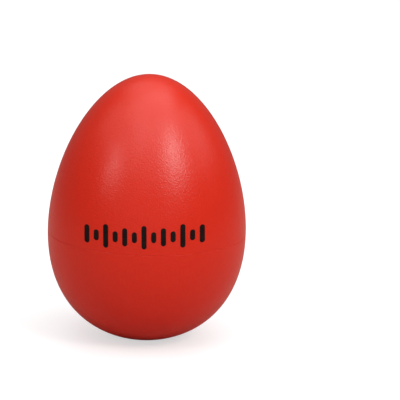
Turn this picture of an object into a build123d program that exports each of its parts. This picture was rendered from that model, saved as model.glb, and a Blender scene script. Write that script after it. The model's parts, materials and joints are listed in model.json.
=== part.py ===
from build123d import *
import math
import os

# Egg shaker: a hand percussion instrument. Two moulded half shells are welded at the widest
# section, a mark is printed on the front, and loose steel shot is sealed inside.
# Units are millimetres. +Z runs from the blunt end up to the pointed end, the origin is the
# centre of the flat foot that the egg stands on, and the printed mark faces -Y.

# The egg's outline, from the blunt pole to the pointed pole, before the foot is cut flat
outline_length = 61.6
outline_diameter = 45.5  # across the widest section
foot_diameter = 9.5  # flat at the blunt pole
wall = 2.0

# The outline is an ellipse whose girth changes with height: 1 + taper t + fullness t^2 + tip t^3,
# where t runs from -1 at the blunt pole to 1 at the pointed pole
taper = -0.176
fullness = 0.045
tip = -0.016
spline_points = 17  # along each stretch of outline

# Stepped weld joint between the half shells
tongue_thickness = 0.95
tongue_height = 2.4
tongue_lead_in = 0.25  # chamfer on the tongue's outer top edge
joint_gap = 0.05  # beside the tongue
flash_gap = 0.15  # above the tongue, for the melt
seam_groove = 0.06  # chamfer on each shell's outer edge, which leaves the parting line

# Printed mark: a row of upright bars, like the beats of a bar of music
bar_count = 13
bar_width = 1.1
mark_width = 26.8
bar_heights = (4.0, 2.4, 5.2, 2.4)  # repeated along the row
mark_height = 28.8  # of the row's centre above the foot
print_tilt = 1.8  # degrees that the row rises to the right
ink_thickness = 0.04
ink_lift = 0.01  # keeps the ink's back face clear of the shell's mesh

# Loose shot, lying one deep on the bottom of the lower shell
shot_diameter = 4.0
shot_pitch = 4.15  # between the centres of neighbours, in plan
shot_patch_radius = 10.6  # in plan, to the outermost centres
shot_gap = 0.05  # under each ball


def solve(function, low, high):
    """The value between low and high where an increasing function reaches zero."""
    for _ in range(60):
        middle = (low + high) / 2
        if function(middle) < 0:
            low = middle
        else:
            high = middle
    return (low + high) / 2


# An angle along the outline runs from 0 at the blunt pole to pi at the pointed pole.
def girth(angle):
    t = -math.cos(angle)
    return 1 + taper * t + fullness * t**2 + tip * t**3


def radius_slope(angle):
    """How fast the radius grows along the outline, for an outline of unit width."""
    t = -math.cos(angle)
    girth_slope = taper + 2 * fullness * t + 3 * tip * t**2
    return math.cos(angle) * girth(angle) + math.sin(angle) ** 2 * girth_slope


seam_angle = solve(lambda angle: -radius_slope(angle), math.pi / 4, math.pi / 2)
half_width = outline_diameter / 2 / (math.sin(seam_angle) * girth(seam_angle))


def outline_radius(angle):
    return half_width * math.sin(angle) * girth(angle)


def outline_rise(angle):
    """Height above the blunt pole."""
    return outline_length / 2 * (1 - math.cos(angle))


foot_angle = solve(lambda angle: outline_radius(angle) - foot_diameter / 2, 0, seam_angle)
foot_cut = outline_rise(foot_angle)
seam_height = outline_rise(seam_angle) - foot_cut


def direction(angle):
    """Unit tangent of the outline, as (radial, upward)."""
    radial = half_width * radius_slope(angle)
    upward = outline_length / 2 * math.sin(angle)
    length = math.hypot(radial, upward)
    return radial / length, upward / length


def inset_point(angle, inset):
    """(radius, height) of the point set in from the outline, square to it."""
    radial, upward = direction(angle)
    radius = outline_radius(angle) - inset * upward
    height = outline_rise(angle) - foot_cut + inset * radial
    return radius, height


def angle_at_height(height):
    return math.acos(1 - 2 * (height + foot_cut) / outline_length)


def inset_angle_at_height(height, inset):
    """The angle where the curve set in by inset is at a height."""
    return solve(lambda angle: inset_point(angle, inset)[1] - height, 0.1, math.pi - 0.1)


def at(radius, height):
    """A point of the profile in the XZ plane."""
    return Vector(radius, 0, height)


def outline_curve(start, end, inset):
    """Edge along the outline, set in by inset, from one angle to another."""

    def place(share):
        return at(*inset_point(start + share * (end - start), inset))

    def pace(share):
        """How fast the place moves as the share of the way grows."""
        nudge = 0.0001
        return (place(share + nudge) - place(share - nudge)) / (2 * nudge)

    shares = [i / (spline_points - 1) for i in range(spline_points)]
    points = [place(share) for share in shares]
    return Edge.make_spline(points, [pace(0), pace(1)], parameters=shares, scale=False)


def spun(*edges):
    """Solid of revolution about Z of the closed outline that the edges make."""
    return revolve(make_face(edges), Axis.Z)


inner_seam_radius = outline_diameter / 2 - wall
tongue_radius = inner_seam_radius + tongue_thickness
tongue_top = seam_height + tongue_height
groove_radius = outline_diameter / 2 - seam_groove


def lower_shell():
    """The blunt half, with the flat foot and the tongue that locates the upper half."""
    outer_end = angle_at_height(seam_height - seam_groove)
    inner_start = inset_angle_at_height(seam_height, wall)
    outer = outline_curve(foot_angle, outer_end, 0)
    inner = outline_curve(inner_start, 0, wall)
    rim = Polyline(
        outer @ 1,
        at(groove_radius, seam_height),
        at(tongue_radius, seam_height),
        at(tongue_radius, tongue_top - tongue_lead_in),
        at(tongue_radius - tongue_lead_in, tongue_top),
        at(inner_seam_radius, tongue_top),
        inner @ 0,
    )
    floor = Polyline(inner @ 1, at(0, 0), at(foot_diameter / 2, 0))
    return spun(outer, *rim.edges(), inner, *floor.edges())


def upper_shell():
    """The pointed half, rebated inside its rim to fit over the tongue."""
    rebate_radius = tongue_radius + joint_gap
    rebate_top = tongue_top + flash_gap
    outer_start = angle_at_height(seam_height + seam_groove)
    inner_end = inset_angle_at_height(rebate_top, wall)
    outer = outline_curve(outer_start, math.pi, 0)
    inner = outline_curve(math.pi, inner_end, wall)
    crown = Line(outer @ 1, inner @ 0)
    rim = Polyline(
        inner @ 1,
        at(rebate_radius, rebate_top),
        at(rebate_radius, seam_height),
        at(groove_radius, seam_height),
        outer @ 0,
    )
    return spun(outer, crown, inner, *rim.edges())


def printed_mark():
    """The row of bars as a film of ink that follows the upper shell."""
    margin = 1.5  # of film above and below the tallest bar, which the tilt needs
    reach = max(bar_heights) / 2 + margin
    low = angle_at_height(mark_height - reach)
    high = angle_at_height(mark_height + reach)
    back = outline_curve(low, high, -ink_lift)
    front = outline_curve(high, low, -ink_lift - ink_thickness)
    film = spun(back, Line(back @ 1, front @ 0), front, Line(front @ 1, back @ 0))
    pitch = (mark_width - bar_width) / (bar_count - 1)
    bars = Sketch()
    for i in range(bar_count):
        height = bar_heights[i % len(bar_heights)]
        bar = SlotOverall(height, bar_width, rotation=90)
        bars += Pos(i * pitch - (mark_width - bar_width) / 2, 0) * bar
    face = Plane((0, 0, mark_height), x_dir=(1, 0, 0), z_dir=(0, -1, 0))
    cutter = extrude(face * Rot(0, 0, print_tilt) * bars, outline_diameter)
    return film & cutter


def shot_height(radius):
    """Height of a ball's centre where it lies on the lower shell, that far from the axis."""
    inset = wall + shot_gap + shot_diameter / 2
    angle = solve(lambda angle: inset_point(angle, inset)[0] - radius, 0, seam_angle)
    return inset_point(angle, inset)[1]


def shot_places():
    """Centres of the balls: a triangular grid about the middle of three, nearest first."""
    steps = math.ceil(shot_patch_radius / shot_pitch) + 1
    places = []
    for row in range(-steps, steps + 1):
        for column in range(-2 * steps, 2 * steps + 1):
            x = (column + row / 2 + 1 / 2) * shot_pitch
            y = (row + 1 / 3) * shot_pitch * math.sqrt(3) / 2
            if math.hypot(x, y) <= shot_patch_radius:
                places.append((x, y, shot_height(math.hypot(x, y))))
    return sorted(places, key=lambda place: (round(place[2], 3), math.atan2(place[1], place[0])))


def parts():
    """Every piece of the egg shaker by name."""
    pieces = {
        "lower_shell": lower_shell(),
        "upper_shell": upper_shell(),
        "printed_mark": printed_mark(),
    }
    for number, place in enumerate(shot_places(), start=1):
        pieces[f"shot_{number:02d}"] = Pos(*place) * Sphere(shot_diameter / 2)
    return pieces


os.makedirs("parts", exist_ok=True)
for name, piece in parts().items():
    export_step(piece, f"parts/{name}.step")
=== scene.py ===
import json
import math

import bpy
from mathutils import Matrix, Vector


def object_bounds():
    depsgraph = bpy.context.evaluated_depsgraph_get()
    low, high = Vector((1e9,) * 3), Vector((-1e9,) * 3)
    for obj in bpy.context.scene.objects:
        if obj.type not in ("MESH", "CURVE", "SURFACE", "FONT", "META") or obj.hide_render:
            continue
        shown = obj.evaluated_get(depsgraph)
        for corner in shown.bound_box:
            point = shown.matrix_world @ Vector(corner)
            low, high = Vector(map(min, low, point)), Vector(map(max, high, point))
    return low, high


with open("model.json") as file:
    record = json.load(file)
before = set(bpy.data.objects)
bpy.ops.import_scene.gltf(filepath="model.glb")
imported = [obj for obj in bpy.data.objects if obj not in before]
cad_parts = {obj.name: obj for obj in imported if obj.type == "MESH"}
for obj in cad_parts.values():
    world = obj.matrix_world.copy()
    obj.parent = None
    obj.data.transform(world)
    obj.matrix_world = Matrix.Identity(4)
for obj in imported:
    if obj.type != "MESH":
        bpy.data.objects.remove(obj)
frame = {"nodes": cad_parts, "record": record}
cad_low, cad_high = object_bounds()

# Egg shaker: satin moulded plastic with a fine spark-eroded grain, a printed row of bars on the
# front, and steel shot inside. Lengths are metres in the CAD frame: +Z up, the print faces -Y.

MM = 0.001
middle = Vector((0, 0, (cad_low.z + cad_high.z) / 2))  # of the egg's height, on its axis


def from_bearing(azimuth, elevation):
    """Unit vector away from the egg, from degrees. Azimuth 0 is the print's side and 90 is +X."""
    turn = math.radians(azimuth)
    rise = math.radians(elevation)
    across = math.cos(rise)
    return Vector((math.sin(turn) * across, -math.cos(turn) * across, math.sin(rise)))


# Materials

# Most of a noise's values lie between these
NOISE_LOW = 0.3
NOISE_HIGH = 0.7

# A Mix node has a socket of each name for every kind of data, so its colours go by number
MIX_FIRST_COLOUR = 6
MIX_SECOND_COLOUR = 7
MIX_COLOUR_RESULT = 2


class Tree:
    """A shader node tree under construction."""

    def __init__(self, owner, output_kind):
        owner.use_nodes = True
        self.nodes = owner.node_tree.nodes
        self.links = owner.node_tree.links
        self.nodes.clear()
        self.output = self.add(output_kind)

    def add(self, kind, **settings):
        node = self.nodes.new("ShaderNode" + kind)
        for name, value in settings.items():
            setattr(node, name, value)
        return node

    def set_input(self, socket, value):
        """Sets an input to a value, or links an output to it."""
        if isinstance(value, bpy.types.NodeSocket):
            self.links.new(value, socket)
        else:
            socket.default_value = value

    def feed(self, node, **inputs):
        """Sets or links a node's inputs, whose names are written with _ for a space."""
        for name, value in inputs.items():
            self.set_input(node.inputs[name.replace("_", " ")], value)
        return node

    def place(self):
        """The place on the object, in metres."""
        return self.add("TexCoord").outputs["Object"]

    def millimetres(self):
        """The place on the object, in millimetres."""
        scale = self.add("VectorMath", operation="SCALE")
        return self.feed(scale, Vector=self.place(), Scale=1 / MM).outputs["Vector"]

    def noise(self, place, size, detail, roughness=0.5):
        """Noise from 0 to 1 whose lumps are about size across, in millimetres."""
        node = self.add("TexNoise")
        self.feed(node, Vector=place, Scale=1 / size, Detail=detail, Roughness=roughness)
        return node.outputs["Fac"]

    def remap(self, value, from_low, from_high, to_low, to_high):
        """The value moved from one range to another, and kept inside it."""
        node = self.feed(self.add("MapRange"), Value=value, From_Min=from_low, From_Max=from_high)
        return self.feed(node, To_Min=to_low, To_Max=to_high).outputs["Result"]

    def between(self, noise, low, high):
        """The noise stretched so that most of it runs from low to high."""
        return self.remap(noise, NOISE_LOW, NOISE_HIGH, low, high)

    def tint(self, value, first, second):
        """The first colour where the value is 0, the second where it is 1, or a mix."""
        node = self.feed(self.add("Mix", data_type="RGBA"), Factor=value)
        self.set_input(node.inputs[MIX_FIRST_COLOUR], (*first, 1))
        self.set_input(node.inputs[MIX_SECOND_COLOUR], (*second, 1))
        return node.outputs[MIX_COLOUR_RESULT]

    def bump(self, height, depth, under=None):
        """The surface normal where a height of 1 stands depth proud of the normal under it."""
        node = self.feed(self.add("Bump"), Height=height, Distance=depth)
        if under is not None:
            self.feed(node, Normal=under)
        return node.outputs["Normal"]


def principled(name, **inputs):
    """A new material, its tree and its Principled shader."""
    material = bpy.data.materials.new(name)
    tree = Tree(material, "OutputMaterial")
    shader = tree.feed(tree.add("BsdfPrincipled"), **inputs)
    tree.feed(tree.output, Surface=shader.outputs["BSDF"])
    return material, tree, shader


def red_plastic():
    """Satin red plastic: spark-eroded grain over slow waves left by the moulding."""
    material, tree, shader = principled("red_plastic", IOR=1.51)
    place = tree.millimetres()
    waves = tree.noise(place, size=14, detail=2)
    grain = tree.noise(place, size=0.36, detail=2)
    specks = tree.noise(place, size=0.2, detail=1)
    darker = (0.70, 0.0195, 0.003)
    lighter = (0.74, 0.0225, 0.004)
    waved = tree.bump(waves, depth=0.02 * MM)
    tree.feed(
        shader,
        Base_Color=tree.tint(tree.between(specks, 0, 1), darker, lighter),
        Roughness=tree.between(waves, 0.28, 0.33),
        Normal=tree.bump(grain, depth=0.06 * MM, under=waved),
    )
    return material


def black_ink():
    """Pad-printed ink, thin enough to follow the plastic's grain."""
    material, tree, shader = principled("black_ink", IOR=1.45, Specular_IOR_Level=0.2)
    place = tree.millimetres()
    grain = tree.noise(place, size=0.42, detail=2, roughness=0.6)
    patches = tree.noise(place, size=1.5, detail=2)
    darker = (0.004, 0.003, 0.003)
    lighter = (0.008, 0.006, 0.005)
    tree.feed(
        shader,
        Base_Color=tree.tint(tree.between(patches, 0, 1), darker, lighter),
        Roughness=tree.between(patches, 0.42, 0.55),
        Normal=tree.bump(grain, depth=0.008 * MM),
    )
    return material


def steel_shot():
    """Tumbled steel with fine scuffs."""
    material, tree, shader = principled("steel_shot", Metallic=1)
    scuffs = tree.noise(tree.millimetres(), size=0.25, detail=4, roughness=0.7)
    darker = (0.48, 0.48, 0.47)
    lighter = (0.62, 0.62, 0.61)
    tree.feed(
        shader,
        Base_Color=tree.tint(scuffs, darker, lighter),
        Roughness=tree.between(scuffs, 0.10, 0.26),
        Normal=tree.bump(scuffs, depth=0.003 * MM),
    )
    return material


def dress():
    """Gives every CAD node its material, by the record's material slots."""
    made = {"shell_plastic": red_plastic(), "print_ink": black_ink(), "shot_steel": steel_shot()}
    for part in frame["record"]["subparts"]:
        mesh = frame["nodes"][part["node"]].data
        mesh.materials.clear()
        mesh.materials.append(made[part["material_slot"]])


# Camera: in front of the print and a little above it, at portrait distance

CAMERA_DISTANCE = 0.596
CAMERA_AZIMUTH = 1.5
CAMERA_ELEVATION = 13.7
CAMERA_ROLL = 1.7  # the egg leans this far to the right in the picture
LENS = 234.0  # in millimetres, as is the sensor's width
SENSOR_WIDTH = 36.0
AIM_RIGHT = 12.0 * MM  # past the egg, which stands left of the picture's centre
AIM_UP = 1.65 * MM
NEAREST_SEEN = 0.05
FARTHEST_SEEN = 20.0


def add_camera():
    data = bpy.data.cameras.new("camera")
    data.lens = LENS
    data.sensor_width = SENSOR_WIDTH
    data.clip_start = NEAREST_SEEN
    data.clip_end = FARTHEST_SEEN
    camera = bpy.data.objects.new("camera", data)
    bpy.context.scene.collection.objects.link(camera)
    back = from_bearing(CAMERA_AZIMUTH, CAMERA_ELEVATION)
    right = Vector((0, 0, 1)).cross(back).normalized()
    up = back.cross(right)
    place = middle + back * CAMERA_DISTANCE
    aim = middle + right * AIM_RIGHT + up * AIM_UP
    turn = (aim - place).to_track_quat("-Z", "Y").to_matrix().to_4x4()
    roll = Matrix.Rotation(math.radians(CAMERA_ROLL), 4, "Z")
    camera.matrix_world = Matrix.Translation(place) @ turn @ roll
    bpy.context.scene.camera = camera


# Studio: softboxes round a pale floor that fades into a white surround

LIGHT_DISTANCE = 1.6

FLOOR_WIDTH = 1.5
FLOOR_SEEN = (0.5, 0.5, 0.5)  # the paint's colour to the camera
FLOOR_BOUNCE = (0.52, 0.28, 0.25)  # and to the egg, which makes the light from below warm
FLOOR_GLOW = 0.6  # to the camera alone
FADE_START = 0.15  # from the middle of the foot
FADE_END = 0.6

SURROUND_SEEN = 1.0  # its strength to the camera
SURROUND_FILL = 0.14  # and to everything else


def softbox(name, bearing, size, radiance, mirrored=True):
    """A rectangular light that faces the egg. Its power follows from its size and radiance.

    The bearing is (azimuth, elevation) in degrees, the size is (width, height), and the radiance
    is in watts per steradian and square metre. A light that isn't mirrored doesn't show in gloss.
    """
    width, height = size
    data = bpy.data.lights.new(name, "AREA")
    data.shape = "RECTANGLE"
    data.size = width
    data.size_y = height
    data.energy = radiance * math.pi * width * height
    light = bpy.data.objects.new(name, data)
    bpy.context.scene.collection.objects.link(light)
    back = from_bearing(*bearing)
    light.location = middle + back * LIGHT_DISTANCE
    light.rotation_euler = back.to_track_quat("Z", "Y").to_euler()
    light.visible_glossy = mirrored


def add_softboxes():
    softbox("overhead_softbox", bearing=(20, 74), size=(2.2, 1.4), radiance=1.6)
    softbox("key_softbox", bearing=(43, 38), size=(0.5, 0.5), radiance=10.8)
    softbox("left_softbox", bearing=(-50, 30), size=(0.3, 0.3), radiance=8.6)
    softbox("front_high", bearing=(-5, 42), size=(1.2, 0.8), radiance=0.86)
    softbox("front_fill", bearing=(0, 10), size=(2.4, 0.7), radiance=0.24)
    softbox("left_high", bearing=(-88, 46), size=(1.0, 0.8), radiance=0.75)
    softbox("right_high", bearing=(95, 35), size=(1.0, 0.8), radiance=1.16)
    softbox("back_softbox", bearing=(180, 70), size=(1.6, 1.2), radiance=0.97)
    softbox("back_fill", bearing=(180, 22), size=(1.6, 1.0), radiance=1.4, mirrored=False)


def seen_by_camera(tree):
    """1 for what the camera looks at, and 0 for what lights the egg or mirrors in it."""
    return tree.add("LightPath").outputs["Is Camera Ray"]


def pale_floor():
    """White paint that glows a little to the camera, and bounces a dim warm light to the egg."""
    material = bpy.data.materials.new("pale_floor")
    tree = Tree(material, "OutputMaterial")
    seen = seen_by_camera(tree)
    paint = tree.feed(tree.add("BsdfDiffuse"), Color=tree.tint(seen, FLOOR_BOUNCE, FLOOR_SEEN))
    glow = tree.feed(tree.add("Emission"), Strength=tree.remap(seen, 0, 1, 0, FLOOR_GLOW))
    lit = tree.add("AddShader")
    tree.set_input(lit.inputs[0], paint.outputs["BSDF"])
    tree.set_input(lit.inputs[1], glow.outputs["Emission"])
    reach = tree.feed(tree.add("VectorMath", operation="LENGTH"), Vector=tree.place())
    fade = tree.remap(reach.outputs["Value"], FADE_START, FADE_END, 0, 1)
    mix = tree.feed(tree.add("MixShader"), Fac=fade)
    tree.set_input(mix.inputs[1], lit.outputs["Shader"])
    tree.set_input(mix.inputs[2], tree.add("BsdfTransparent").outputs["BSDF"])
    tree.feed(tree.output, Surface=mix.outputs["Shader"])
    return material


def add_floor():
    bpy.ops.mesh.primitive_plane_add(size=FLOOR_WIDTH)
    floor = bpy.context.active_object
    floor.name = "floor"
    floor.data.materials.append(pale_floor())


def add_surround():
    """White to the camera, and a dim even fill to everything else."""
    world = bpy.data.worlds.new("surround")
    tree = Tree(world, "OutputWorld")
    strength = tree.remap(seen_by_camera(tree), 0, 1, SURROUND_FILL, SURROUND_SEEN)
    light = tree.feed(tree.add("Background"), Color=(1, 1, 1, 1), Strength=strength)
    tree.feed(tree.output, Surface=light.outputs["Background"])
    bpy.context.scene.world = world


dress()
add_camera()
add_softboxes()
add_floor()
add_surround()
bpy.context.scene.view_settings.view_transform = "Standard"
